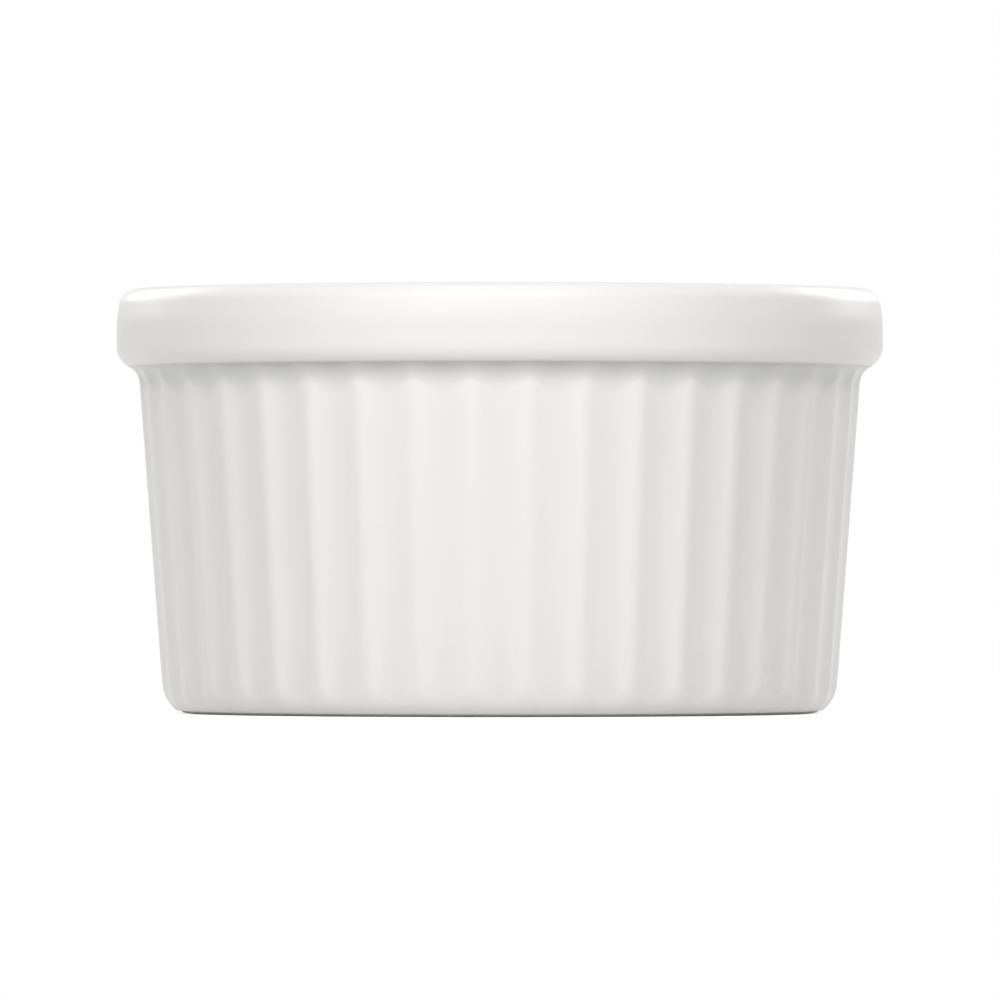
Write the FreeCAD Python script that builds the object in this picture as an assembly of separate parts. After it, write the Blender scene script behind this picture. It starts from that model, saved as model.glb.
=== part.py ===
"""Fluted ramekin: a one-piece porcelain body and the two areas of glaze that are fused to it.

Millimetres, +Z up. The origin is the centre of the foot ring, on the plane that the dish stands on.
Sizes are those of the finished, glazed dish. The body lies one glaze thickness under the glazed surfaces.
"""

import FreeCAD
import Part
import math
import os

# Overall
RIM_DIAMETER = 90.0
HEIGHT = 49.8

# Wall, measured over the ridges between the flutes
WALL_THICKNESS = 4.0
WALL_DRAFT = 4.3
BASE_CORNER_RADIUS = 3.1

# Flutes
FLUTE_COUNT = 40
FLUTE_DEPTH = 0.44
RIDGE_RADIUS = 3.0

# Rim band, which stands out from the ridges by its overhang
RIM_OVERHANG = 2.45
RIM_BAND_HEIGHT = 8.3
RIM_CROWN_HEIGHT = 3.9
RIM_CROWN_ANGLE = 8.0
RIM_CROWN_RADIUS = 12.5
RIM_UNDERSIDE_ANGLE = 30.0
RIM_LOWER_RADIUS = 2.8
RIM_OUTER_RADIUS = 2.0
RIM_INNER_RADIUS = 2.0
COVE_RADIUS = 2.4

# Inside and underside
FLOOR_THICKNESS = 4.0
INSIDE_CORNER_RADIUS = 6.0
RECESS_DEPTH = 1.0
RECESS_SIDE_ANGLE = 45.0
RECESS_CORNER_RADIUS = 1.2
FOOT_RING_WIDTH = 2.2

# Glaze
GLAZE_THICKNESS = 0.3
GLAZE_LINE_HEIGHT = 0.4

# Gap that keeps the rounded edges from meeting the flutes along a tangent
BLEND_GAP = 0.05

# Places that follow from the sizes
RIM_RADIUS = RIM_DIAMETER / 2
NECK_RADIUS = RIM_RADIUS - RIM_OVERHANG
NECK_HEIGHT = HEIGHT - RIM_BAND_HEIGHT
FLOOR_HEIGHT = RECESS_DEPTH + FLOOR_THICKNESS
DRAFT_SLOPE = math.tan(math.radians(WALL_DRAFT))
UNDERSIDE_SLOPE = math.tan(math.radians(RIM_UNDERSIDE_ANGLE))
CROWN_SLOPE = math.tan(math.radians(RIM_CROWN_ANGLE))
RECESS_SLOPE = math.tan(math.radians(RECESS_SIDE_ANGLE))

# The forms run on below the standing plane, each further than the one before, until they are cut off there.
# The flutes run on upwards into the rim band.
CORE_BOTTOM = -HEIGHT / 10
FLUTE_BOTTOM = 2 * CORE_BOTTOM
CUT_BOTTOM = 3 * CORE_BOTTOM
FLUTE_TOP = NECK_HEIGHT + RIM_BAND_HEIGHT / 4


def ridge_radius_at(height):
    """Radius of the wall over the ridges at a height."""
    return NECK_RADIUS - (NECK_HEIGHT - height) * DRAFT_SLOPE


def inside_radius_at(height):
    """Radius of the inside of the wall at a height."""
    return ridge_radius_at(height) - WALL_THICKNESS


def buried_radius_at(height):
    """Radius of a line just inside the floors of the flutes."""
    return ridge_radius_at(height) - FLUTE_DEPTH - BLEND_GAP


def section_point(corner):
    """Point in the XZ plane for a corner given as radius and height."""
    return FreeCAD.Vector(corner[0], 0, corner[1])


def corner_arc(before, corner, after):
    """Start, middle and end of the tangent arc at a corner, all three the corner itself where it is sharp."""
    point = section_point(corner)
    rounding = corner[2]
    if rounding == 0:
        return point, point, point
    back = (section_point(before) - point).normalize()
    onward = (section_point(after) - point).normalize()
    half_angle = back.getAngle(onward) / 2
    length = rounding / math.tan(half_angle)
    middle = (back + onward).normalize() * (rounding / math.sin(half_angle) - rounding)
    return point + back * length, point + middle, point + onward * length


def revolved(corners):
    """Solid of revolution from corners (radius, height, rounding) listed anticlockwise."""
    count = len(corners)
    arcs = [corner_arc(corners[i - 1], corners[i], corners[(i + 1) % count]) for i in range(count)]
    edges = []
    for i, (start, middle, end) in enumerate(arcs):
        if corners[i][2] > 0:
            edges.append(Part.Arc(start, middle, end).toShape())
        edges.append(Part.makeLine(end, arcs[(i + 1) % count][0]))
    face = Part.Face(Part.Wire(edges))
    return face.revolve(FreeCAD.Vector(0, 0, 0), FreeCAD.Vector(0, 0, 1), 360)


def side_direction(start, end):
    """Unit direction of one side of a section."""
    length = math.hypot(end[0] - start[0], end[1] - start[1])
    return (end[0] - start[0]) / length, (end[1] - start[1]) / length


def inset_corner(before, corner, after, inset_before, inset_after):
    """Corner where its two sides meet after each has moved towards the inside by its own inset."""
    into = side_direction(before, corner)
    out = side_direction(corner, after)
    turn = into[0] * out[1] - into[1] * out[0]
    across = into[0] * out[0] + into[1] * out[1]
    along = (inset_before * across - inset_after) / turn
    radius = corner[0] - into[1] * inset_before + into[0] * along
    height = corner[1] + into[0] * inset_before + into[1] * along
    if corner[2] == 0:
        return radius, height, 0
    return radius, height, corner[2] - math.copysign(inset_after, turn)


def inset_section(corners, insets):
    """Section with each side moved inwards by its own inset, the rounded corners staying parallel."""
    count = len(corners)
    moved = []
    for i in range(count):
        after = corners[(i + 1) % count]
        moved.append(inset_corner(corners[i - 1], corners[i], after, insets[i - 1], insets[i]))
    return moved


def cove_corner_height():
    """Height at which the slope under the rim would meet the buried line."""
    drop_at_base_radius = (RIM_RADIUS - buried_radius_at(0)) * UNDERSIDE_SLOPE
    return (NECK_HEIGHT - drop_at_base_radius) / (1 - DRAFT_SLOPE * UNDERSIDE_SLOPE)


def core(inset):
    """Everything that is round: the cove, rim, inside wall and floor, with its outer side inside the flutes."""
    cove_height = cove_corner_height()
    corners = [
        (0, CORE_BOTTOM, 0),
        (buried_radius_at(CORE_BOTTOM), CORE_BOTTOM, 0),
        (buried_radius_at(cove_height), cove_height, COVE_RADIUS),
        (RIM_RADIUS, NECK_HEIGHT, RIM_LOWER_RADIUS),
        (RIM_RADIUS, HEIGHT - RIM_CROWN_HEIGHT, RIM_CROWN_RADIUS),
        (RIM_RADIUS - RIM_CROWN_HEIGHT * CROWN_SLOPE, HEIGHT, RIM_OUTER_RADIUS),
        (inside_radius_at(HEIGHT), HEIGHT, RIM_INNER_RADIUS),
        (inside_radius_at(FLOOR_HEIGHT), FLOOR_HEIGHT, INSIDE_CORNER_RADIUS),
        (0, FLOOR_HEIGHT, 0),
    ]
    coated = [inset] * (len(corners) - 2)
    return revolved(inset_section(corners, [0] + coated + [0]))


def turned(point, angle):
    """Point turned about the upright axis."""
    return FreeCAD.Rotation(FreeCAD.Vector(0, 0, 1), math.degrees(angle)).multVec(point)


def flute_wire(height, inset):
    """Closed outline of the fluted wall at a height: hollow arcs joined by rounded ridges."""
    outer = ridge_radius_at(height) - inset
    rounding = RIDGE_RADIUS - inset
    half_pitch = math.pi / FLUTE_COUNT
    floor = outer - FLUTE_DEPTH
    ridge_x = (outer - rounding) * math.cos(half_pitch)
    ridge_y = (outer - rounding) * math.sin(half_pitch)
    rise = floor - ridge_x
    hollow = (rise ** 2 + ridge_y ** 2 - rounding ** 2) / (2 * (rounding - rise))
    hollow_centre = FreeCAD.Vector(floor + hollow, 0, height)
    ridge_centre = FreeCAD.Vector(ridge_x, ridge_y, height)
    join = hollow_centre + (ridge_centre - hollow_centre) * (hollow / (hollow + rounding))
    join_before = FreeCAD.Vector(join.x, -join.y, height)
    deepest = FreeCAD.Vector(floor, 0, height)
    crest = turned(FreeCAD.Vector(outer, 0, height), half_pitch)
    edges = []
    for i in range(FLUTE_COUNT):
        angle = 2 * half_pitch * i
        end = turned(join, angle)
        next_start = turned(join_before, angle + 2 * half_pitch)
        edges.append(Part.Arc(turned(join_before, angle), turned(deepest, angle), end).toShape())
        edges.append(Part.Arc(end, turned(crest, angle), next_start).toShape())
    return Part.Wire(edges)


def fluted_ring(inset):
    """Ring that carries the flutes. Its bore and its top lie inside the core."""
    outside = Part.makeLoft([flute_wire(FLUTE_BOTTOM, inset), flute_wire(FLUTE_TOP, inset)], True, True)
    bore_depth = (WALL_THICKNESS + FLUTE_DEPTH + BLEND_GAP) / 2
    bore = Part.makeCone(
        ridge_radius_at(FLUTE_BOTTOM) - bore_depth,
        ridge_radius_at(FLUTE_TOP) - bore_depth,
        FLUTE_TOP - FLUTE_BOTTOM,
        FreeCAD.Vector(0, 0, FLUTE_BOTTOM),
    )
    return outside.cut(bore)


def base_line_radius(inset):
    """Radius at which a line just outside the ridges reaches the standing plane."""
    return ridge_radius_at(0) + BLEND_GAP - inset


def standing_radius(inset):
    """Radius at which the rounded base corner meets the standing plane."""
    lean = DRAFT_SLOPE - math.hypot(1, DRAFT_SLOPE)
    return base_line_radius(inset) + BASE_CORNER_RADIUS * lean


def below_base(inset):
    """Space under the standing plane and around the rounded base corner."""
    top = 2 * BASE_CORNER_RADIUS
    return revolved([
        (0, CUT_BOTTOM, 0),
        (RIM_RADIUS, CUT_BOTTOM, 0),
        (RIM_RADIUS, top, 0),
        (base_line_radius(inset) + top * DRAFT_SLOPE, top, 0),
        (base_line_radius(inset), 0, BASE_CORNER_RADIUS),
        (0, 0, 0),
    ])


def dish(inset):
    """Whole dish without its recess, with every coated surface moved in by the inset."""
    return core(inset).fuse(fluted_ring(inset)).cut(below_base(inset))


def recess(inset):
    """Hollow under the base as the clay has it, or smaller by the glaze that lines it."""
    edge = standing_radius(GLAZE_THICKNESS) - FOOT_RING_WIDTH
    depth = RECESS_DEPTH + GLAZE_THICKNESS
    corners = [
        (0, CORE_BOTTOM, 0),
        (edge - CORE_BOTTOM / RECESS_SLOPE, CORE_BOTTOM, 0),
        (edge - depth / RECESS_SLOPE, depth, RECESS_CORNER_RADIUS + GLAZE_THICKNESS),
        (0, depth, 0),
    ]
    return revolved(inset_section(corners, [0, inset, inset, 0]))


def glaze_only(shape):
    """Part of a glazed shape that lies above the glaze line."""
    bare = Part.makeCylinder(RIM_RADIUS, GLAZE_LINE_HEIGHT - CUT_BOTTOM, FreeCAD.Vector(0, 0, CUT_BOTTOM))
    return shape.cut(bare)


def write_part(shape, name):
    """Write one piece as a single clean solid."""
    solids = shape.removeSplitter().Solids
    if len(solids) != 1:
        raise RuntimeError(name + " has " + str(len(solids)) + " solids")
    solids[0].exportStep("parts/" + name + ".step")


def build():
    """Make the body, the coat around it and the glaze under its base."""
    clay = dish(GLAZE_THICKNESS)
    clay_recess = recess(0)
    write_part(clay.cut(clay_recess), "porcelain_body")
    write_part(glaze_only(dish(0)).cut(clay), "glaze_coat")
    write_part(glaze_only(clay_recess.cut(recess(GLAZE_THICKNESS))), "base_glaze")


os.makedirs("parts", exist_ok=True)
build()
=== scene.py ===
"""White fluted ramekin: a porcelain body, the glaze coat around it and the glaze under its base.

Metres, +Z up. The dish stands on the plane z = 0 and is seen from the -Y side.
A section is a list of stations (radius, height, painted shading) along the outline of half a piece cut in
two.
Painted shading is shade and light painted into the glaze colour: above zero it paints shade in hollows, under
the rim and towards the foot, below zero it paints light on edges and ridges. A little of it is the glaze's
own tint where it gathers and where it thins; most of it is painted shade and painted light.
"""

import math
from collections import namedtuple

import bpy
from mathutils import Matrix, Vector


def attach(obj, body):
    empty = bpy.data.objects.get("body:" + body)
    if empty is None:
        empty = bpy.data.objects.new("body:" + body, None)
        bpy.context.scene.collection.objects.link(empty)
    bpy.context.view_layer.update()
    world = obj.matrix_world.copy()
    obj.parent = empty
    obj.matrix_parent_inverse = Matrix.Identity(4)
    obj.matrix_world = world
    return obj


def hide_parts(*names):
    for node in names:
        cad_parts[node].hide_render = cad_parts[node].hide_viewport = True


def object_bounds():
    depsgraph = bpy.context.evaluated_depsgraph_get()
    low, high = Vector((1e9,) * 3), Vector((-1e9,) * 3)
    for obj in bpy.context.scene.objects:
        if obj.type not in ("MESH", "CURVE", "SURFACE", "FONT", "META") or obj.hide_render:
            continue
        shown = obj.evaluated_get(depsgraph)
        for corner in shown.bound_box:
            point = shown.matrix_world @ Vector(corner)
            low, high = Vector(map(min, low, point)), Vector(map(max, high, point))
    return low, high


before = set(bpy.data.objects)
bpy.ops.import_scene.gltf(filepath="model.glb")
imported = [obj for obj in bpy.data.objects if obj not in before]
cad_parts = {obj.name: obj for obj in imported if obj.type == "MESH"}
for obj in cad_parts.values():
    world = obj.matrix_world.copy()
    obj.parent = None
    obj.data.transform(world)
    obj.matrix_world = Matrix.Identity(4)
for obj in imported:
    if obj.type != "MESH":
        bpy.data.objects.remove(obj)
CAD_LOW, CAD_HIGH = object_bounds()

bl_info = {
    "name": "Fluted Ramekin",
    "version": (1, 0, 0),
    "blender": (4, 5, 0),
    "location": "3D View > Sidebar > Ramekin",
    "description": "Builds a glazed porcelain ramekin with a fluted wall, and a studio to see it in",
    "category": "Object",
}

MM = 0.001
TURNING_TREE = "Fluted turning"
GLAZE_GROUP = "Fired glaze"
WHITE = (1.0, 1.0, 1.0, 1.0)

Corner = namedtuple("Corner", "point rounding steps rows pool")
Softbox = namedtuple("Softbox", "key azimuth elevation distance width height")

# Two points nearer than this are one
MERGE_DISTANCE = 0.001 * MM

# Stations up the base corner and the wall, and the shares of full detail for surfaces that hardly show
BASE_STEPS = 12
WALL_ROWS = 20
FEWEST_STEPS = 2
FULL_DETAIL = 1.0
GLAZE_BACK_DETAIL = 0.3
BODY_DETAIL = 0.4

# Painted shading at the start, middle and end of a corner: above zero painted shade, below zero painted light
EVEN = (0.0, 0.0, 0.0)
# Painted light in the middle of a corner, on the rim's top edges
PAINTED_LIGHT_MIDDLE = (0.0, -1.0, 0.0)
# Painted shade in the cove under the rim, darkest where it meets the underside
COVE_PAINTED_SHADE = (0.34, 0.5, 0.88)
# Painted shade where the rim's underside begins, painted light round the rim's lower edge
RIM_EDGE_PAINTED_SHADING = (0.9, -1.1, -0.2)
# Painted shade in the inside corner between the wall and the floor
INSIDE_PAINTED_SHADE = (0.0, 0.3, 0.0)
# Painted shade in the corner of the recess under the base
RECESS_PAINTED_SHADE = (0.0, 0.5, 0.0)

# How far a corner's painted shading reaches along a straight run
PAINTED_SHADING_REACH = 2.4 * MM

# The edge of the glaze: its painted light, the steps round it, and the share of its bulge that is left at its
# end
EDGE_PAINTED_LIGHT = -0.5
EDGE_STEPS = 5
EDGE_BULGE_LEFT = 0.5

# Painted light on the ridges low and high on the wall, stronger higher up, and the heights between which it
# changes
CREST_PAINTED_LIGHT_LOW = -0.45
CREST_PAINTED_LIGHT_HIGH = -0.8
CREST_LOW = 8.0 * MM
CREST_HIGH = 38.0 * MM

# A corner's painted shade comes over the ridges as it grows, and hides the painted light there.
# The power says how narrow a strip of the ridge stays clear of a small painted shade.
COVER_GROWTH = 2.4
HIDE_GROWTH = 3.0
CLEAR_POWER = 3.0

# Painted shade that darkens the wall towards the foot, on a ridge and in a flute, and the height at which it
# begins
FOOT_SHADE_ON_RIDGE = 0.46
FOOT_SHADE_IN_FLUTE = 0.26
FOOT_SHADE_HEIGHT = 16.0 * MM

# Noise over the surface: its scales, in features to the metre, and its middle value
CLOUD_SCALE = 70.0
MOTTLE_SCALE = 900.0
WAVE_SCALE = 240.0
SKIN_SCALE = 1100.0
GRAIN_SCALE = 2600.0
PATCH_SCALE = 160.0
NOISE_MIDDLE = 0.5

# Glaze: how clouds and mottle change its tone and roughness, and how its skin waves
CLOUD_START = 0.3
CLOUD_TONE = 0.03
MOTTLE_TONE = 0.006
SMOOTHEST = 0.9
CLOUD_ROUGHNESS = 0.12
MOTTLE_ROUGHNESS = 0.08
SKIN_SHARE = 0.12
GLAZE_BUMP = 0.12
GLAZE_BUMP_DEPTH = 0.06 * MM
GLAZE_IOR = 1.52

# Bare porcelain: where it is rubbed, how speckled it is, and how rough
RUB_HEIGHT = 0.12 * MM
RUB_START = 0.42
RUB_CONTRAST = 2.4
RUB_SHARE = 0.55
RUB_POLISH = 0.2
SPECKLE_CONTRAST = 0.5
SPECKLE_LEVEL = 0.1
PORCELAIN_ROUGHNESS = 0.72
GRAIN_ROUGHNESS = 0.15
PORCELAIN_BUMP = 0.35
PORCELAIN_BUMP_DEPTH = 0.03 * MM

# Floor and camera
FLOOR_SIDES = 96
FLOOR_ROUGHNESS = 0.9
SENSOR_WIDTH = 36.0

# Softboxes: the stage's name for the brightness, degrees round from the front, degrees up, and in metres
# the distance, width and height
SOFTBOXES = (
    Softbox("left_softbox", -33, 28, 0.45, 0.28, 0.22),
    Softbox("right_softbox", 32, 26, 0.45, 0.28, 0.22),
    Softbox("front_softbox", -2, 37, 0.6, 0.4, 0.3),
    Softbox("top_softbox", 0, 82, 0.5, 0.3, 0.3),
    Softbox("rear_left_softbox", -135, 26, 0.6, 0.35, 0.3),
    Softbox("rear_right_softbox", 135, 26, 0.6, 0.35, 0.3),
)


def length(name, description, default):
    """A length property, in metres."""
    return bpy.props.FloatProperty(
        name=name, description=description, default=default, precision=5, subtype="DISTANCE", unit="LENGTH"
    )


def angle(name, description, degrees):
    """An angle property, from degrees."""
    return bpy.props.FloatProperty(
        name=name, description=description, default=math.radians(degrees), subtype="ANGLE", unit="ROTATION"
    )


def count(name, description, default):
    """A whole number property."""
    return bpy.props.IntProperty(name=name, description=description, default=default, min=1)


def factor(name, description, default):
    """A property between nothing and all."""
    return bpy.props.FloatProperty(
        name=name, description=description, default=default, min=0.0, max=1.0, subtype="FACTOR"
    )


def level(name, description, default):
    """A brightness property, in which 1 is white."""
    return bpy.props.FloatProperty(name=name, description=description, default=default, min=0.0)


def colour(name, description, default):
    """A colour property, red, green and blue in linear light."""
    return bpy.props.FloatVectorProperty(
        name=name, description=description, default=default, size=3, min=0.0, max=1.0, subtype="COLOR"
    )


class RamekinSizes(bpy.types.PropertyGroup):
    """Sizes of the finished dish."""

    height: length("Height", "Standing plane to the top of the rim", CAD_HIGH.z - CAD_LOW.z)
    rim_diameter: length("Rim diameter", "Across the rim band", CAD_HIGH.x - CAD_LOW.x)
    wall_thickness: length("Wall thickness", "Ridges to the inside of the wall", 4.0 * MM)
    wall_draft: angle("Wall draft", "Lean of the wall from upright", 4.3)
    base_width: length("Base corner width", "How far the base corner draws in under a ridge", 2.7 * MM)
    base_rise: length("Base corner rise", "Height of the rounded base corner under a ridge", 3.6 * MM)
    base_flute_rise: length("Flute end rise", "Height of the rounded base corner under a flute", 2.6 * MM)

    flute_count: count("Flutes", "Flutes around the wall", 40)
    flute_depth: length("Flute depth", "Depth of a flute below the ridges", 0.44 * MM)
    ridge_radius: length("Ridge radius", "Rounding of the ridges between flutes", 3.0 * MM)

    rim_overhang: length("Rim overhang", "How far the rim stands out from the ridges", 2.45 * MM)
    rim_band_height: length("Rim band height", "Height of the rim band", 8.3 * MM)
    crown_height: length("Crown height", "Height over which the band leans in", 3.9 * MM)
    crown_angle: angle("Crown angle", "Lean of the upper band from upright", 8.0)
    crown_radius: length("Crown radius", "Rounding between the upright and leaning band", 12.5 * MM)
    underside_angle: angle("Underside angle", "Slope under the rim", 30.0)
    lower_radius: length("Lower edge radius", "Rounding of the rim's lower edge", 2.8 * MM)
    outer_radius: length("Outer lip radius", "Rounding of the rim's outer top edge", 2.0 * MM)
    inner_radius: length("Inner lip radius", "Rounding of the rim's inner top edge", 2.0 * MM)
    cove_radius: length("Cove radius", "Hollow under the rim", 2.4 * MM)

    floor_thickness: length("Floor thickness", "Thickness of the floor", 4.0 * MM)
    inside_radius: length("Inside corner radius", "Rounding between the inside wall and the floor", 6.0 * MM)
    recess_depth: length("Recess depth", "Depth of the hollow under the base", 1.0 * MM)
    recess_angle: angle("Recess side angle", "Slope of the recess side", 45.0)
    recess_radius: length("Recess corner radius", "Rounding inside the recess", 1.2 * MM)
    foot_width: length("Foot ring width", "Width of the ring the dish stands on", 2.2 * MM)
    foot_radius: length("Foot edge radius", "Rounding of the foot ring's inner edge", 0.3 * MM)

    glaze_thickness: length("Glaze thickness", "Thickness of the glaze", 0.3 * MM)
    glaze_line: length("Glaze line", "Height at which the glaze ends", 0.4 * MM)

    sides_per_flute: count("Sides per flute", "Mesh columns for each flute", 14)


class RamekinFinish(bpy.types.PropertyGroup):
    """Colours and surface of the glaze and the bare porcelain."""

    glaze: colour("Glaze", "Even glaze", (0.876, 0.865, 0.859))
    # The darker colour paints shade into the glaze, in hollows, under the rim and towards the foot; the
    # lighter one paints light on edges and ridges
    glaze_painted_shade: colour("Shade-painted glaze", "Glaze that has run into a hollow", (0.600, 0.612, 0.594))
    glaze_painted_light: colour("Light-painted glaze", "Glaze drawn thin over an edge", (0.915, 0.904, 0.898))
    glaze_roughness: factor("Glaze roughness", "Roughness of the fired glaze", 0.33)
    base_glaze_roughness: factor("Base glaze roughness", "Roughness of the glaze under the base", 0.2)
    porcelain: colour("Bare porcelain", "Unglazed porcelain on the foot", (0.830, 0.805, 0.765))
    porcelain_rubbed: colour("Rubbed porcelain", "Foot where it has been rubbed grey", (0.560, 0.540, 0.510))


class RamekinStage(bpy.types.PropertyGroup):
    """Camera, lights and floor."""

    camera_distance: length("Camera distance", "From the dish's axis", 1.53)
    camera_height: length("Camera height", "Above the standing plane", 19.14 * MM)
    camera_side: length("Camera side step", "To the right of the dish's axis", 0.03 * MM)
    aim_height: length("Aim height", "Height on the axis that the camera is aimed at", 25.05 * MM)
    lens: bpy.props.FloatProperty(
        name="Lens", description="Focal length on a sensor 36 mm wide", default=468.9, unit="CAMERA"
    )
    left_softbox: level("Left softbox", "Brightness of the softbox at the front left", 1.46)
    right_softbox: level("Right softbox", "Brightness of the softbox at the front right", 0.97)
    front_softbox: level("Front softbox", "Brightness of the wide softbox in front, above the dish", 3.96)
    top_softbox: level("Top softbox", "Brightness of the softbox overhead", 1.15)
    rear_left_softbox: level("Rear left softbox", "Brightness of the softbox at the back left", 2.45)
    rear_right_softbox: level("Rear right softbox", "Brightness of the softbox at the back right", 3.45)
    lamp_colour: colour("Lamp colour", "Tint of the softboxes", (1.0, 0.991, 0.982))
    ambient: level("Ambient", "Brightness of the room as it lights the dish", 0.19)
    floor: colour("Floor", "Pale floor", (0.74, 0.742, 0.742))
    floor_radius: length("Floor radius", "Radius of the round floor", 0.5)
    floor_lift: level("Floor lift", "Light added to the floor as it is seen", 0.62)


def slope(angle_from_upright):
    """Sideways travel for each unit of height."""
    return math.tan(angle_from_upright)


def ridge_radius_at(sizes, height):
    """Radius of the wall over the ridges at a height."""
    neck_radius = sizes.rim_diameter / 2 - sizes.rim_overhang
    neck_height = sizes.height - sizes.rim_band_height
    return neck_radius - (neck_height - height) * slope(sizes.wall_draft)


def depth_below_ridges(sizes, in_flute):
    """How far the wall lies below the ridges, in a flute or on a ridge."""
    return sizes.flute_depth if in_flute else 0.0


def sharp_corner(radius, height, rows=1):
    """A corner without rounding, under even glaze."""
    return Corner(Vector((radius, height)), 0.0, 1, rows, EVEN)


def corner_arc(before, corner, after):
    """Stations along the tangent arc at a corner."""
    point = corner.point
    if corner.rounding == 0:
        return [(point.x, point.y, corner.pool[1])]
    back = (before.point - point).normalized()
    onward = (after.point - point).normalized()
    half = back.angle(onward) / 2
    centre = point + (back + onward).normalized() * (corner.rounding / math.sin(half))
    reach = corner.rounding / math.tan(half)
    start = point + back * reach - centre
    end = point + onward * reach - centre
    sweep = math.pi - 2 * half
    stations = []
    for i in range(corner.steps + 1):
        share = i / corner.steps
        spoke = (start * math.sin(sweep * (1 - share)) + end * math.sin(sweep * share)) / math.sin(sweep)
        spot = centre + spoke
        stations.append((spot.x, spot.y, painted_shading_along(corner.pool, share)))
    return stations


def painted_shading_along(pool, share):
    """Painted shading at a share of the way round a corner, on the smooth curve through its three values."""
    first, middle, last = pool
    from_first = first * (1 - share) * (1 - 2 * share)
    from_middle = middle * 4 * share * (1 - share)
    from_last = last * share * (2 * share - 1)
    return from_first + from_middle + from_last


def straight_run(start, end, rows):
    """Stations between two others, closer together towards both ends, with the painted shading of each end
    fading away from it.
    """
    distance = math.dist(start[:2], end[:2])
    stations = []
    for i in range(1, rows):
        share = (1 - math.cos(math.pi * i / rows)) / 2
        radius = start[0] + (end[0] - start[0]) * share
        height = start[1] + (end[1] - start[1]) * share
        pool = start[2] * painted_shading_left(distance * share) + end[2] * painted_shading_left(distance * (1 - share))
        stations.append((radius, height, pool))
    return stations


def painted_shading_left(distance):
    """Share of a corner's painted shading that is left at a distance from it."""
    return max(0.0, 1 - distance / PAINTED_SHADING_REACH) ** 2


def rounded_path(corners):
    """Stations along a path with rounded corners. A corner's rows lie on the run that leaves it."""
    arcs = [[(corners[0].point.x, corners[0].point.y, corners[0].pool[1])]]
    for before, corner, after in zip(corners, corners[1:], corners[2:]):
        arcs.append(corner_arc(before, corner, after))
    arcs.append([(corners[-1].point.x, corners[-1].point.y, corners[-1].pool[1])])
    stations = []
    for i, arc in enumerate(arcs):
        stations += arc
        if i + 1 < len(arcs):
            stations += straight_run(arc[-1], arcs[i + 1][0], corners[i].rows)
    return stations


def inset_corners(corners, inset):
    """The same path moved into the clay, which lies to its left, with its roundings kept parallel."""
    points = [corner.point for corner in corners]
    sides = [(b - a).normalized() for a, b in zip(points, points[1:])]
    lefts = [Vector((-side.y, side.x)) for side in sides]
    moved = [corners[0]._replace(point=points[0] + lefts[0] * inset)]
    for i in range(1, len(corners) - 1):
        turn = sides[i - 1].cross(sides[i])
        along = inset * (sides[i - 1].dot(sides[i]) - 1) / turn
        point = points[i] + lefts[i - 1] * inset + sides[i - 1] * along
        rounding = corners[i].rounding - math.copysign(inset, turn)
        moved.append(corners[i]._replace(point=point, rounding=rounding))
    moved.append(corners[-1]._replace(point=points[-1] + lefts[-1] * inset))
    return moved


def base_corner(sizes, in_flute, inset, lowest, steps):
    """Stations up the rounded base corner, from a height to where the straight wall begins.

    Painted light is full at the first one and gone at the last.
    """
    depth = depth_below_ridges(sizes, in_flute)
    rise = sizes.base_flute_rise if in_flute else sizes.base_rise
    width = sizes.base_width - depth
    lean = slope(sizes.wall_draft)
    foot = ridge_radius_at(sizes, 0) - depth - inset / math.cos(sizes.wall_draft)
    first = math.acos(1 - lowest / rise)
    stations = []
    for i in range(steps + 1):
        turn = first + (math.pi / 2 - first) * i / steps
        height = rise * (1 - math.cos(turn))
        radius = foot - width * (1 - math.sin(turn)) + lean * height
        # Painted light on the lower base corner, strongest at the glaze line
        stations.append((radius, height, i / steps - 1.0))
    return stations


def upper_corners(sizes, in_flute):
    """Corners of the glazed surface from the cove to the middle of the floor."""
    rim = sizes.rim_diameter / 2
    top = sizes.height
    neck = top - sizes.rim_band_height
    floor = sizes.recess_depth + sizes.floor_thickness
    lean = slope(sizes.wall_draft)
    fall = math.tan(sizes.underside_angle)
    neck_radius = ridge_radius_at(sizes, neck) - depth_below_ridges(sizes, in_flute)
    drop = (rim - neck_radius) * fall / (1 - lean * fall)
    cove = Vector((neck_radius - drop * lean, neck - drop))
    crown = top - sizes.crown_height
    lip = rim - sizes.crown_height * math.tan(sizes.crown_angle)
    mouth = ridge_radius_at(sizes, top) - sizes.wall_thickness
    well = ridge_radius_at(sizes, floor) - sizes.wall_thickness
    # Each corner's last entry is its painted shading: shade in the cove, the underside and the inside corner,
    # light on the rim's edges
    return [
        Corner(cove, sizes.cove_radius, 10, 3, COVE_PAINTED_SHADE),
        Corner(Vector((rim, neck)), sizes.lower_radius, 12, 4, RIM_EDGE_PAINTED_SHADING),
        Corner(Vector((rim, crown)), sizes.crown_radius, 5, 3, EVEN),
        Corner(Vector((lip, top)), sizes.outer_radius, 10, 3, PAINTED_LIGHT_MIDDLE),
        Corner(Vector((mouth, top)), sizes.inner_radius, 10, 7, PAINTED_LIGHT_MIDDLE),
        Corner(Vector((well, floor)), sizes.inside_radius, 12, 6, INSIDE_PAINTED_SHADE),
        sharp_corner(0.0, floor),
    ]


def scaled(full, detail):
    """A number of steps at a share of full detail."""
    return max(FEWEST_STEPS, round(full * detail))


def thinned(corner, detail):
    """A corner with the steps on it, and the rows on the run that leaves it, at a share of full detail."""
    return corner._replace(steps=scaled(corner.steps, detail), rows=scaled(corner.rows, detail))


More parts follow.
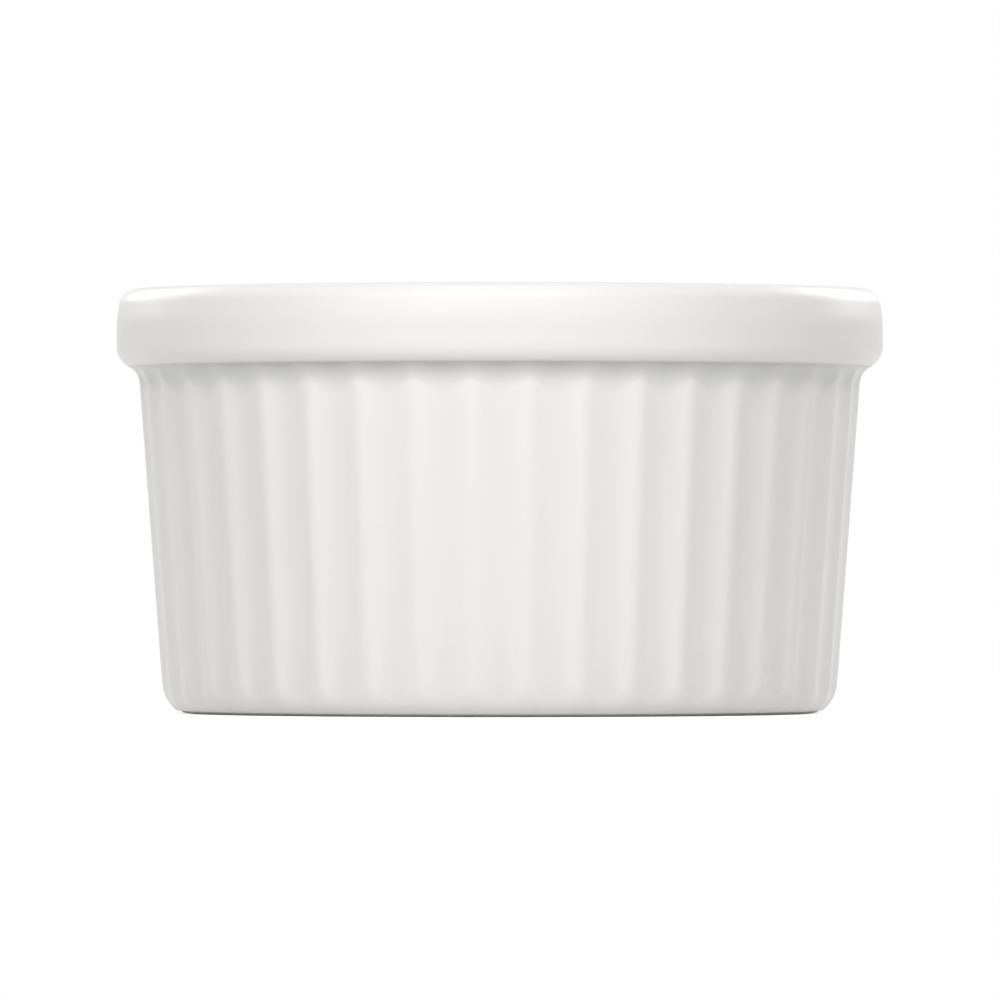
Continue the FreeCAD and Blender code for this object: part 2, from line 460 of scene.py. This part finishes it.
def dish_section(sizes, in_flute, inset, lowest, detail):
    """Stations from a height on the base corner, up the wall and over the rim, to the middle of the floor."""
    base = base_corner(sizes, in_flute, inset, lowest, scaled(BASE_STEPS, detail))
    wall_foot = sharp_corner(ridge_radius_at(sizes, 0) - depth_below_ridges(sizes, in_flute), 0.0)
    corners = [thinned(corner, detail) for corner in upper_corners(sizes, in_flute)]
    upper = inset_corners([wall_foot] + corners, inset)
    wall_start = sharp_corner(base[-1][0], base[-1][1], scaled(WALL_ROWS, detail))
    return base + rounded_path([wall_start] + upper[1:])[1:]


def glaze_edge(before, after):
    """Stations round the edge of the glaze, between the two sides of its section."""
    first = Vector(before[-1][:2])
    last = Vector(after[0][:2])
    leaving = (first - Vector(before[-2][:2])).normalized()
    joining = (last - Vector(after[1][:2])).normalized()
    reach = (last - first).length / 2
    first_pull = first + leaving * reach
    last_pull = last + joining * reach * EDGE_BULGE_LEFT
    stations = []
    for i in range(1, EDGE_STEPS):
        t = i / EDGE_STEPS
        spot = first * (1 - t) ** 3 + first_pull * 3 * t * (1 - t) ** 2
        spot += last_pull * 3 * t * t * (1 - t) + last * t ** 3
        # The glaze's edge near the foot gets painted light
        stations.append((spot.x, spot.y, EDGE_PAINTED_LIGHT))
    return stations


def coat_section(sizes, in_flute):
    """Closed section of the glaze coat: its face, from the middle of the floor to its edge, and its back."""
    face = dish_section(sizes, in_flute, 0.0, sizes.glaze_line, FULL_DETAIL)
    face.reverse()
    back = dish_section(sizes, in_flute, sizes.glaze_thickness, sizes.glaze_line, GLAZE_BACK_DETAIL)
    return face + glaze_edge(face, back) + back


def body_section(sizes, in_flute):
    """Closed section of the clay: its glazed side, from the middle of the floor to the foot, then below."""
    outside = dish_section(sizes, in_flute, sizes.glaze_thickness, 0.0, BODY_DETAIL)
    outside.reverse()
    foot = outside[-1][0]
    edge = foot - sizes.foot_width
    depth = sizes.recess_depth + sizes.glaze_thickness
    run = depth * math.tan(sizes.recess_angle)
    recess_rounding = sizes.recess_radius + sizes.glaze_thickness
    under = rounded_path([
        sharp_corner(foot, 0.0, 5),
        Corner(Vector((edge, 0.0)), sizes.foot_radius, 5, 3, EVEN),
        Corner(Vector((edge - run, depth)), recess_rounding, 8, 4, EVEN),
        sharp_corner(0.0, depth),
    ])
    return outside + under[1:]


def base_glaze_section(sizes):
    """Closed section of the glaze under the base: its back, from the middle to its edge, and its face."""
    line = sizes.glaze_line
    depth = sizes.recess_depth + sizes.glaze_thickness
    edge = base_corner(sizes, False, sizes.glaze_thickness, 0.0, 1)[0][0] - sizes.foot_width
    run = math.tan(sizes.recess_angle)
    shift = sizes.glaze_thickness / math.cos(sizes.recess_angle)
    turn = sizes.glaze_thickness * math.tan(sizes.recess_angle / 2)
    back_corner = Vector((edge - depth * run, depth))
    back_rounding = sizes.recess_radius + sizes.glaze_thickness
    face_corner = Vector((edge - depth * run - turn, sizes.recess_depth))
    back = rounded_path([
        sharp_corner(0.0, depth, 4),
        Corner(back_corner, back_rounding, 4, 3, EVEN),
        sharp_corner(edge - line * run, line),
    ])
    face = rounded_path([
        sharp_corner(edge - line * run - shift, line, 3),
        # Painted shade in the recess corner
        Corner(face_corner, sizes.recess_radius, 8, 5, RECESS_PAINTED_SHADE),
        sharp_corner(0.0, sizes.recess_depth),
    ])
    return back + glaze_edge(back, face) + face


class Number:
    """A number inside a node tree, combined with ordinary arithmetic."""

    def __init__(self, tree, socket):
        self.tree = tree
        self.socket = socket

    def math(self, operation, *others):
        """The result of a math node on this number and others."""
        node = self.tree.nodes.new("ShaderNodeMath")
        node.operation = operation
        for slot, value in zip(node.inputs, (self,) + others):
            feed(self.tree, slot, value)
        return Number(self.tree, node.outputs[0])

    def __add__(self, other):
        return self.math("ADD", other)

    def __radd__(self, other):
        return self.math("ADD", other)

    def __sub__(self, other):
        return self.math("SUBTRACT", other)

    def __rsub__(self, other):
        return (self * -1.0).math("ADD", other)

    def __mul__(self, other):
        return self.math("MULTIPLY", other)

    def __truediv__(self, other):
        return self.math("DIVIDE", other)

    def __rtruediv__(self, other):
        return (self ** -1.0) * other

    def __pow__(self, other):
        return self.math("POWER", other)


def clamped(number):
    """A number kept between 0 and 1."""
    return number.math("MINIMUM", 1.0).math("MAXIMUM", 0.0)


def feed(tree, slot, value):
    """Set a socket, or link it when the value comes from another node."""
    if isinstance(value, Number):
        tree.links.new(value.socket, slot)
    elif isinstance(value, bpy.types.NodeSocket):
        tree.links.new(value, slot)
    else:
        slot.default_value = value


def add_node(tree, kind, inputs=None, **settings):
    """Add a node with its settings, then set or link its inputs by name."""
    node = tree.nodes.new(kind)
    for name, value in settings.items():
        setattr(node, name, value)
    for key, value in (inputs or {}).items():
        feed(tree, live_socket(node.inputs, key), value)
    return node


def live_socket(sockets, name):
    """The socket in use that has this name."""
    for socket in sockets:
        if socket.name == name and socket.enabled:
            return socket
    raise KeyError(name)


def group_inputs(tree, sockets):
    """Give a node group its named inputs, from (name, socket type, default)."""
    for name, kind, default in sockets:
        socket = tree.interface.new_socket(name=name, in_out="INPUT", socket_type=kind)
        if default is not None:
            socket.default_value = default
    return tree.nodes.new("NodeGroupInput")


def group_outputs(tree, sockets):
    """Give a node group its named outputs, from (name, socket type, source)."""
    for name, kind, _ in sockets:
        tree.interface.new_socket(name=name, in_out="OUTPUT", socket_type=kind)
    node = tree.nodes.new("NodeGroupOutput")
    for name, _, source in sockets:
        feed(tree, node.inputs[name], source)


def hollow_share(fold, half_pitch, wall, depth, ridge):
    """How far into a flute the wall lies at an angle from the flute's middle: 0 on the ridge, 1 on the floor.

    The flute is a hollow arc and the ridge a round one, and they meet where they touch.
    """
    ridge_centre = wall - ridge
    ridge_x = ridge_centre * half_pitch.math("COSINE")
    ridge_y = ridge_centre * half_pitch.math("SINE")
    floor = wall - depth
    rise = floor - ridge_x
    hollow = (rise * rise + ridge_y * ridge_y - ridge * ridge) / ((ridge - rise) * 2.0)
    hollow_centre = floor + hollow
    share = hollow / (hollow + ridge)
    join_x = hollow_centre + (ridge_x - hollow_centre) * share
    join = (ridge_y * share).math("ARCTAN2", join_x)
    off_hollow = hollow_centre * fold.math("SINE")
    in_hollow = hollow_centre * fold.math("COSINE") - (hollow * hollow - off_hollow * off_hollow).math("SQRT")
    from_ridge = half_pitch - fold
    off_ridge = ridge_centre * from_ridge.math("SINE")
    on_ridge = ridge_centre * from_ridge.math("COSINE") + (ridge * ridge - off_ridge * off_ridge).math("SQRT")
    past_join = fold.math("GREATER_THAN", join)
    radius = in_hollow + (on_ridge - in_hollow) * past_join
    return (wall - radius) / depth


def turn_and_fold(tree, pitch, sides):
    """Angle round the dish, and angle from the nearest flute's middle."""
    index = Number(tree, add_node(tree, "GeometryNodeInputIndex").outputs["Index"])
    place = index / sides
    aside = place - place.math("ROUND")
    return place * pitch, aside.math("ABSOLUTE") * pitch


def named(tree, name, kind):
    """Output that reads a named attribute."""
    node = add_node(tree, "GeometryNodeInputNamedAttribute", {"Name": name}, data_type=kind)
    return live_socket(node.outputs, "Attribute")


def stored(tree, geometry, name, value):
    """Geometry with a number kept on its points under a name."""
    node = add_node(
        tree,
        "GeometryNodeStoreNamedAttribute",
        {"Geometry": geometry, "Name": name, "Value": value},
        data_type="FLOAT",
        domain="POINT",
    )
    return node.outputs["Geometry"]


def without(tree, geometry, names):
    """Geometry with named attributes taken off."""
    for name in names:
        geometry = add_node(
            tree, "GeometryNodeRemoveAttribute", {"Geometry": geometry, "Name": name}
        ).outputs["Geometry"]
    return geometry


def vector_parts(tree, vector):
    """The X and Z of a vector."""
    node = add_node(tree, "ShaderNodeSeparateXYZ", {"Vector": vector})
    return Number(tree, node.outputs["X"]), Number(tree, node.outputs["Z"])


def painted_glaze_shading(section_shading, fluted, sunk, up):
    """Painted shading on the finished surface, from the section's own painted shading, the flutes' share and
    the height.

    It paints shade in the corners and under the rim, paints light on the ridges, more of it high on the wall,
    and paints shade that darkens the wall towards the foot.
    """
    # Painted shade and light from the corners, kept off a strip along each ridge where the corner's shading
    # is small
    crest = fluted * (1.0 - sunk)
    uncovered = 1.0 - clamped(section_shading.math("ABSOLUTE") * COVER_GROWTH)
    corner_shading = section_shading * (1.0 - crest ** CLEAR_POWER * uncovered)
    # Painted light on the ridge crests, stronger higher on the wall, hidden where a corner's painted shade
    # covers them
    high = clamped((up - CREST_LOW) / (CREST_HIGH - CREST_LOW))
    ridge_light_level = CREST_PAINTED_LIGHT_LOW + high * (CREST_PAINTED_LIGHT_HIGH - CREST_PAINTED_LIGHT_LOW)
    crest_light = crest * (1.0 - clamped(corner_shading * HIDE_GROWTH)) * ridge_light_level
    # Painted shade darkening the wall towards the foot, more on the ridges than in the flutes
    low = clamped(1.0 - up / FOOT_SHADE_HEIGHT)
    foot_shade = FOOT_SHADE_ON_RIDGE + sunk * (FOOT_SHADE_IN_FLUTE - FOOT_SHADE_ON_RIDGE)
    return corner_shading + crest_light + fluted * low * low * foot_shade


def fluted_shell(tree, swept, depth):
    """A swept section with each point put in its place between ridge and flute, and its painted shade and
    light kept on it.
    """
    angle_round = Number(tree, named(tree, "turn", "FLOAT"))
    sunk = Number(tree, named(tree, "sunk", "FLOAT"))
    ridge_out, ridge_up = vector_parts(tree, named(tree, "on_ridge", "FLOAT_VECTOR"))
    flute_out, flute_up = vector_parts(tree, named(tree, "in_flute", "FLOAT_VECTOR"))
    out = ridge_out + (flute_out - ridge_out) * sunk
    up = ridge_up + (flute_up - ridge_up) * sunk
    spot = add_node(tree, "ShaderNodeCombineXYZ", {
        "X": out * angle_round.math("SINE"),
        "Y": out * angle_round.math("COSINE") * -1.0,
        "Z": up,
    }).outputs["Vector"]
    placed = add_node(tree, "GeometryNodeSetPosition", {"Geometry": swept, "Position": spot})
    # The section's painted shade and light, made into the finished surface's painted shading
    section_shading = Number(tree, named(tree, "section_painted_shading", "FLOAT"))
    fluted = clamped((ridge_out - flute_out) / depth)
    pool = painted_glaze_shading(section_shading, fluted, sunk, up)
    shell = stored(tree, placed.outputs["Geometry"], "pool", pool)
    return without(tree, shell, ["turn", "sunk", "on_ridge", "in_flute", "section_painted_shading"])


def fluted_turning_tree(sizes):
    """Node tree that turns a section round the axis, sinking its flutes by its second set of stations."""
    tree = bpy.data.node_groups.new(TURNING_TREE, "GeometryNodeTree")
    inputs = group_inputs(tree, [
        ("Section", "NodeSocketGeometry", None),
        ("Flutes", "NodeSocketInt", sizes.flute_count),
        ("Sides per flute", "NodeSocketInt", sizes.sides_per_flute),
        ("Flute depth", "NodeSocketFloat", sizes.flute_depth),
        ("Ridge radius", "NodeSocketFloat", sizes.ridge_radius),
        ("Wall radius", "NodeSocketFloat", ridge_radius_at(sizes, sizes.height / 2)),
        ("Finish", "NodeSocketMaterial", None),
    ])
    flutes = Number(tree, inputs.outputs["Flutes"])
    sides = Number(tree, inputs.outputs["Sides per flute"])
    depth = Number(tree, inputs.outputs["Flute depth"])
    ridge = Number(tree, inputs.outputs["Ridge radius"])
    wall = Number(tree, inputs.outputs["Wall radius"])

    pitch = math.tau / flutes
    turn, fold = turn_and_fold(tree, pitch, sides)
    circle = add_node(tree, "GeometryNodeCurvePrimitiveCircle", {"Resolution": flutes * sides, "Radius": 1.0})
    ring = stored(tree, circle.outputs["Curve"], "turn", turn)
    ring = stored(tree, ring, "sunk", hollow_share(fold, pitch * 0.5, wall, depth, ridge))
    section = add_node(tree, "GeometryNodeMeshToCurve", {"Mesh": inputs.outputs["Section"]}).outputs["Curve"]
    swept = add_node(tree, "GeometryNodeCurveToMesh", {"Curve": ring, "Profile Curve": section})

    shell = fluted_shell(tree, swept.outputs["Mesh"], depth)
    merged = add_node(tree, "GeometryNodeMergeByDistance", {"Geometry": shell, "Distance": MERGE_DISTANCE})
    smooth = add_node(tree, "GeometryNodeSetShadeSmooth", {"Geometry": merged.outputs["Geometry"]})
    realized = add_node(tree, "GeometryNodeRealizeInstances", {"Geometry": smooth.outputs["Geometry"]})
    finished = add_node(
        tree,
        "GeometryNodeSetMaterial",
        {"Geometry": realized.outputs["Geometry"], "Material": inputs.outputs["Finish"]},
    )
    group_outputs(tree, [("Geometry", "NodeSocketGeometry", finished.outputs["Geometry"])])
    return tree


def section_mesh(name, on_ridge, in_flute):
    """A line of edges along a section, with its places on a ridge and in a flute kept on its points."""
    ridge_points = [(radius, 0.0, height) for radius, height, _ in on_ridge]
    flute_points = [(radius, 0.0, height) for radius, height, _ in in_flute]
    edges = [(i, i + 1) for i in range(len(ridge_points) - 1)]
    mesh = bpy.data.meshes.new(name)
    mesh.from_pydata(ridge_points, edges, [])
    for label, points in (("on_ridge", ridge_points), ("in_flute", flute_points)):
        attribute = mesh.attributes.new(label, "FLOAT_VECTOR", "POINT")
        attribute.data.foreach_set("vector", [value for point in points for value in point])
    # Painted shade and light of the section, taken from the ridge stations
    pool = mesh.attributes.new("section_painted_shading", "FLOAT", "POINT")
    pool.data.foreach_set("value", [station[2] for station in on_ridge])
    return mesh


def set_tree_input(modifier, name, value):
    """Set one named input of a node tree on its modifier."""
    for item in modifier.node_group.interface.items_tree:
        if item.item_type == "SOCKET" and item.in_out == "INPUT" and item.name == name:
            modifier[item.identifier] = value
            return
    raise KeyError(name)


def turned_piece(name, on_ridge, in_flute, material):
    """A finished piece: its section turned round the axis and made a plain mesh."""
    sizes = bpy.context.scene.ramekin_sizes
    piece = bpy.data.objects.new(name, section_mesh(name, on_ridge, in_flute))
    bpy.context.scene.collection.objects.link(piece)
    modifier = piece.modifiers.new(TURNING_TREE, "NODES")
    modifier.node_group = bpy.data.node_groups.get(TURNING_TREE) or fluted_turning_tree(sizes)
    set_tree_input(modifier, "Flutes", sizes.flute_count)
    set_tree_input(modifier, "Sides per flute", sizes.sides_per_flute)
    set_tree_input(modifier, "Flute depth", sizes.flute_depth)
    set_tree_input(modifier, "Ridge radius", sizes.ridge_radius)
    set_tree_input(modifier, "Wall radius", ridge_radius_at(sizes, sizes.height / 2))
    set_tree_input(modifier, "Finish", material)
    graph = bpy.context.evaluated_depsgraph_get()
    made = bpy.data.meshes.new_from_object(
        piece.evaluated_get(graph), preserve_all_data_layers=True, depsgraph=graph
    )
    if not made.polygons:
        raise RuntimeError(name + " came out with no faces")
    piece.modifiers.remove(modifier)
    piece.data = made
    return piece


def keep_in_frame(piece, node):
    """Let a piece stand in for a node of the frame, which is hidden."""
    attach(piece, "root")
    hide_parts(node)


def noise(tree, place, scale, detail, roughness=0.5):
    """A noise pattern over the piece, from 0 to 1."""
    node = add_node(
        tree,
        "ShaderNodeTexNoise",
        {"Vector": place, "Scale": scale, "Detail": detail, "Roughness": roughness},
        noise_dimensions="3D",
    )
    return Number(tree, live_socket(node.outputs, "Fac"))


def mixed(tree, share, first, second):
    """One colour going over to another."""
    node = add_node(tree, "ShaderNodeMix", {"Factor": share, "A": first, "B": second}, data_type="RGBA")
    return live_socket(node.outputs, "Result")


def opaque(rgb):
    """A colour with full alpha, as sockets want it."""
    return (rgb[0], rgb[1], rgb[2], 1.0)


def glaze_group():
    """Shader group of the fired glaze: its tone with painted shade and painted light in it, its roughness and
    the faint waves of its skin.
    """
    tree = bpy.data.node_groups.new(GLAZE_GROUP, "ShaderNodeTree")
    inputs = group_inputs(tree, [
        ("Place", "NodeSocketVector", None),
        ("Pool", "NodeSocketFloat", None),
        ("Even", "NodeSocketColor", None),
        ("Painted shade", "NodeSocketColor", None),
        ("Painted light", "NodeSocketColor", None),
        ("Gloss loss", "NodeSocketFloat", None),
    ])
    place = inputs.outputs["Place"]
    pool = Number(tree, inputs.outputs["Pool"])
    # Painted shade: the tone goes to the darker colour where the painted shading is above zero. Painted
    # light: to the lighter colour where it is below zero.
    tone = mixed(tree, clamped(pool), inputs.outputs["Even"], inputs.outputs["Painted shade"])
    tone = mixed(tree, clamped(pool * -1.0), tone, inputs.outputs["Painted light"])
    clouds = noise(tree, place, CLOUD_SCALE, detail=3.0)
    mottle = noise(tree, place, MOTTLE_SCALE, detail=2.0)
    shade = clamped((clouds - CLOUD_START) * CLOUD_TONE + (mottle - NOISE_MIDDLE) * MOTTLE_TONE)
    tone = mixed(tree, shade, tone, inputs.outputs["Painted shade"])
    unevenness = SMOOTHEST + clouds * CLOUD_ROUGHNESS + mottle * MOTTLE_ROUGHNESS
    rough = Number(tree, inputs.outputs["Gloss loss"]) * unevenness
    waves = noise(tree, place, WAVE_SCALE, detail=1.0)
    skin = noise(tree, place, SKIN_SCALE, detail=1.0)
    group_outputs(tree, [
        ("Tone", "NodeSocketColor", tone),
        ("Roughness", "NodeSocketFloat", rough),
        ("Skin", "NodeSocketFloat", waves + skin * SKIN_SHARE),
    ])
    return tree


def new_material(name):
    """An empty material, its node tree, and its Principled shader."""
    material = bpy.data.materials.new(name)
    material.use_nodes = True
    tree = material.node_tree
    return material, tree, tree.nodes["Principled BSDF"]


def glaze_material(name, roughness):
    """White fired glaze."""
    finish = bpy.context.scene.ramekin_finish
    material, tree, shader = new_material(name)
    place = add_node(tree, "ShaderNodeTexCoord").outputs["Object"]
    # The painted shading kept on the mesh, which paints shade and light into the glaze colour
    pool = add_node(tree, "ShaderNodeAttribute", attribute_name="pool").outputs["Fac"]
    glaze = add_node(tree, "ShaderNodeGroup")
    glaze.node_tree = bpy.data.node_groups.get(GLAZE_GROUP) or glaze_group()
    for key, value in (
        ("Place", place),
        ("Pool", pool),
        ("Even", opaque(finish.glaze)),
        ("Painted shade", opaque(finish.glaze_painted_shade)),
        ("Painted light", opaque(finish.glaze_painted_light)),
        ("Gloss loss", roughness),
    ):
        feed(tree, glaze.inputs[key], value)
    bump = add_node(tree, "ShaderNodeBump", {
        "Height": glaze.outputs["Skin"],
        "Strength": GLAZE_BUMP,
        "Distance": GLAZE_BUMP_DEPTH,
    })
    feed(tree, shader.inputs["Base Color"], glaze.outputs["Tone"])
    feed(tree, shader.inputs["Roughness"], glaze.outputs["Roughness"])
    feed(tree, shader.inputs["Normal"], bump.outputs["Normal"])
    shader.inputs["IOR"].default_value = GLAZE_IOR
    return material


def porcelain_material():
    """Bare fired porcelain, matt and a little rubbed where the dish stands."""
    finish = bpy.context.scene.ramekin_finish
    material, tree, shader = new_material("Bare porcelain")
    place = add_node(tree, "ShaderNodeTexCoord").outputs["Object"]
    height = vector_parts(tree, place)[1]
    grain = noise(tree, place, GRAIN_SCALE, detail=3.0, roughness=0.6)
    patches = noise(tree, place, PATCH_SCALE, detail=3.0, roughness=0.55)
    low = clamped(1.0 - height / RUB_HEIGHT)
    rubbed = clamped((patches - RUB_START) * RUB_CONTRAST) * low * RUB_SHARE
    speckled = clamped((grain - NOISE_MIDDLE) * SPECKLE_CONTRAST + SPECKLE_LEVEL)
    tone = mixed(tree, speckled, opaque(finish.porcelain), opaque(finish.porcelain_rubbed))
    tone = mixed(tree, rubbed, tone, opaque(finish.porcelain_rubbed))
    rough = PORCELAIN_ROUGHNESS - rubbed * RUB_POLISH + (grain - NOISE_MIDDLE) * GRAIN_ROUGHNESS
    bump = add_node(tree, "ShaderNodeBump", {
        "Height": grain,
        "Strength": PORCELAIN_BUMP,
        "Distance": PORCELAIN_BUMP_DEPTH,
    })
    feed(tree, shader.inputs["Base Color"], tone)
    feed(tree, shader.inputs["Roughness"], rough)
    feed(tree, shader.inputs["Normal"], bump.outputs["Normal"])
    return material


def seen_directly(tree):
    """1 for what the camera sees, straight or in a mirror or glass, and 0 for light that falls on things."""
    path = add_node(tree, "ShaderNodeLightPath")
    camera = Number(tree, path.outputs["Is Camera Ray"])
    glossy = path.outputs["Is Glossy Ray"]
    through = path.outputs["Is Transmission Ray"]
    return camera.math("MAXIMUM", glossy).math("MAXIMUM", through)


def make_world(stage):
    """White as it is seen, dimmer as it lights the dish."""
    world = bpy.data.worlds.new("Studio")
    world.use_nodes = True
    tree = world.node_tree
    background = tree.nodes["Background"]
    background.inputs["Color"].default_value = WHITE
    seen = seen_directly(tree)
    feed(tree, background.inputs["Strength"], seen + (1.0 - seen) * stage.ambient)
    bpy.context.scene.world = world


def make_floor(stage):
    """Pale floor that keeps the dish's shadow."""
    mesh = bpy.data.meshes.new("floor")
    turns = [math.tau * i / FLOOR_SIDES for i in range(FLOOR_SIDES)]
    edge = [(math.cos(turn) * stage.floor_radius, math.sin(turn) * stage.floor_radius, 0.0) for turn in turns]
    mesh.from_pydata(edge, [], [range(FLOOR_SIDES)])
    floor = bpy.data.objects.new("floor", mesh)
    bpy.context.scene.collection.objects.link(floor)
    material, tree, shader = new_material("Pale floor")
    shader.inputs["Base Color"].default_value = opaque(stage.floor)
    shader.inputs["Roughness"].default_value = FLOOR_ROUGHNESS
    shader.inputs["Specular IOR Level"].default_value = 0.0
    shader.inputs["Emission Color"].default_value = WHITE
    feed(tree, shader.inputs["Emission Strength"], seen_directly(tree) * stage.floor_lift)
    mesh.materials.append(material)


def make_softbox(stage, softbox):
    """Flat lamp aimed at the dish. The stage gives the brightness of its face."""
    name = softbox.key.replace("_", " ")
    lamp = bpy.data.lights.new(name, "AREA")
    lamp.color = stage.lamp_colour
    lamp.shape = "RECTANGLE"
    lamp.size = softbox.width
    lamp.size_y = softbox.height
    lamp.energy = getattr(stage, softbox.key) * math.pi * softbox.width * softbox.height
    azimuth = math.radians(softbox.azimuth)
    elevation = math.radians(softbox.elevation)
    place = Vector((
        math.sin(azimuth) * math.cos(elevation),
        -math.cos(azimuth) * math.cos(elevation),
        math.sin(elevation),
    )) * softbox.distance
    placed = bpy.data.objects.new(name, lamp)
    placed.location = place
    placed.rotation_euler = place.to_track_quat("Z", "Y").to_euler()
    bpy.context.scene.collection.objects.link(placed)


def make_camera(stage):
    """Camera low in front of the dish with a long lens."""
    data = bpy.data.cameras.new("camera")
    data.sensor_width = SENSOR_WIDTH
    data.lens = stage.lens
    camera = bpy.data.objects.new("camera", data)
    camera.location = (stage.camera_side, -stage.camera_distance, stage.camera_height)
    aim = Vector((stage.camera_side, 0.0, stage.aim_height)) - camera.location
    camera.rotation_euler = aim.to_track_quat("-Z", "Y").to_euler()
    bpy.context.scene.collection.objects.link(camera)
    bpy.context.scene.camera = camera


class RAMEKIN_OT_porcelain_body(bpy.types.Operator):
    """Build the porcelain body, which shows only on the foot ring"""

    bl_idname = "ramekin.porcelain_body"
    bl_label = "Porcelain Body"

    def execute(self, context):
        sizes = context.scene.ramekin_sizes
        piece = turned_piece(
            "fluted_porcelain", body_section(sizes, False), body_section(sizes, True), porcelain_material()
        )
        keep_in_frame(piece, "porcelain_body")
        return {"FINISHED"}


class RAMEKIN_OT_glaze_coat(bpy.types.Operator):
    """Build the glaze over the outside, the rim and the inside"""

    bl_idname = "ramekin.glaze_coat"
    bl_label = "Glaze Coat"

    def execute(self, context):
        sizes = context.scene.ramekin_sizes
        material = glaze_material("White glaze", context.scene.ramekin_finish.glaze_roughness)
        piece = turned_piece("fluted_glaze", coat_section(sizes, False), coat_section(sizes, True), material)
        keep_in_frame(piece, "glaze_coat")
        return {"FINISHED"}


class RAMEKIN_OT_base_glaze(bpy.types.Operator):
    """Build the glaze in the recess under the base"""

    bl_idname = "ramekin.base_glaze"
    bl_label = "Base Glaze"

    def execute(self, context):
        sizes = context.scene.ramekin_sizes
        material = glaze_material("Base glaze", context.scene.ramekin_finish.base_glaze_roughness)
        section = base_glaze_section(sizes)
        piece = turned_piece("recess_glaze", section, section, material)
        keep_in_frame(piece, "base_glaze")
        return {"FINISHED"}


class RAMEKIN_OT_studio(bpy.types.Operator):
    """Set the camera, the lights and the floor"""

    bl_idname = "ramekin.studio"
    bl_label = "Studio"

    def execute(self, context):
        stage = context.scene.ramekin_stage
        make_camera(stage)
        make_world(stage)
        make_floor(stage)
        for softbox in SOFTBOXES:
            make_softbox(stage, softbox)
        context.scene.view_settings.view_transform = "Standard"
        return {"FINISHED"}


class RAMEKIN_PT_panel(bpy.types.Panel):
    """Sizes, finish and stage of the ramekin, with a button for each piece"""

    bl_label = "Ramekin"
    bl_idname = "RAMEKIN_PT_panel"
    bl_space_type = "VIEW_3D"
    bl_region_type = "UI"
    bl_category = "Ramekin"

    def draw(self, context):
        scene = context.scene
        for heading, group in (
            ("Sizes", scene.ramekin_sizes),
            ("Finish", scene.ramekin_finish),
            ("Stage", scene.ramekin_stage),
        ):
            self.layout.label(text=heading)
            for key in group.__annotations__:
                self.layout.prop(group, key)
        for operator in OPERATORS:
            self.layout.operator(operator.bl_idname)


OPERATORS = (
    RAMEKIN_OT_porcelain_body,
    RAMEKIN_OT_glaze_coat,
    RAMEKIN_OT_base_glaze,
    RAMEKIN_OT_studio,
)
CLASSES = (RamekinSizes, RamekinFinish, RamekinStage) + OPERATORS + (RAMEKIN_PT_panel,)


def register():
    """Register the classes and hang their properties on the scene."""
    for cls in CLASSES:
        bpy.utils.register_class(cls)
    bpy.types.Scene.ramekin_sizes = bpy.props.PointerProperty(type=RamekinSizes)
    bpy.types.Scene.ramekin_finish = bpy.props.PointerProperty(type=RamekinFinish)
    bpy.types.Scene.ramekin_stage = bpy.props.PointerProperty(type=RamekinStage)


def unregister():
    """Take the properties and classes away again."""
    del bpy.types.Scene.ramekin_stage
    del bpy.types.Scene.ramekin_finish
    del bpy.types.Scene.ramekin_sizes
    for cls in reversed(CLASSES):
        bpy.utils.unregister_class(cls)


def main():
    """Build every piece and the stage."""
    register()
    bpy.ops.ramekin.porcelain_body()
    bpy.ops.ramekin.glaze_coat()
    bpy.ops.ramekin.base_glaze()
    bpy.ops.ramekin.studio()


if __name__ == "__main__":
    main()
